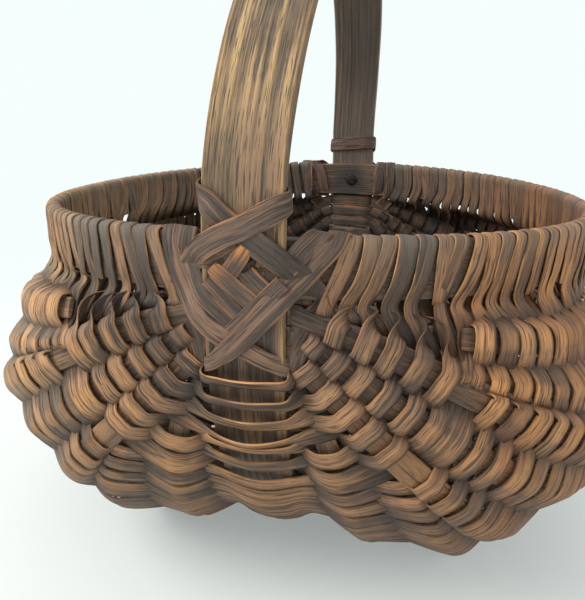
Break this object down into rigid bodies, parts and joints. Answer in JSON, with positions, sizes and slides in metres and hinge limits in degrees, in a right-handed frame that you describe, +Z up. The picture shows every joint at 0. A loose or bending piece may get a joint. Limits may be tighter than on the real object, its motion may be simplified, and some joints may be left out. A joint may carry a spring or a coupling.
{
  "type": "buttocks basket",
  "caption": "Woven splint basket on crossed hoops: a round rim, an arched fixed handle, two bulging lobes of ribs under flat weavers, and crossed lashings at both ears.",
  "frame": {"origin": "on the floor under the middle of the basket, at the centre of the bottom of its bounding box", "axes": "+Z up, +Y from the front ear to the back ear along the handle, +X across the lobes to the right as seen from the front ear"},
  "size_m": [0.2884, 0.2642, 0.285],
  "materials": {
    "handle_oak": "hand-worn split oak, golden tan with dark grain",
    "rim_oak": "dull grey-brown split oak",
    "rib_oak": "satin orange-brown split oak",
    "weaver_brown": "dull brown splint",
    "weaver_tan": "dull tan splint",
    "weaver_dark": "dull dark splint",
    "weaver_mid": "dull mid-brown splint",
    "lashing_oak": "grey-brown weathered splint",
    "nail_iron": "dark hand-forged iron"
  },
  "bodies": {
    "root": {"handle_hoop": "handle_oak", "rim_hoop": "rim_oak", "rib_right_1": "rib_oak", "rib_right_2": "rib_oak", "rib_right_3": "rib_oak", "rib_right_4": "rib_oak", "rib_right_5": "rib_oak", "rib_right_6": "rib_oak", "rib_right_7": "rib_oak", "rib_left_1": "rib_oak", "rib_left_2": "rib_oak", "rib_left_3": "rib_oak", "rib_left_4": "rib_oak", "rib_left_5": "rib_oak", "rib_left_6": "rib_oak", "rib_left_7": "rib_oak", "weaver_01": "weaver_brown", "weaver_02": "weaver_tan", "weaver_03": "weaver_dark", "weaver_04": "weaver_mid", "weaver_05": "weaver_brown", "weaver_06": "weaver_tan", "weaver_07": "weaver_dark", "weaver_08": "weaver_mid", "weaver_09": "weaver_brown", "weaver_10": "weaver_tan", "front_ear_lashing": "lashing_oak", "front_ear_nail": "nail_iron", "back_ear_lashing": "lashing_oak", "back_ear_nail": "nail_iron"}
  },
  "joints": []
}
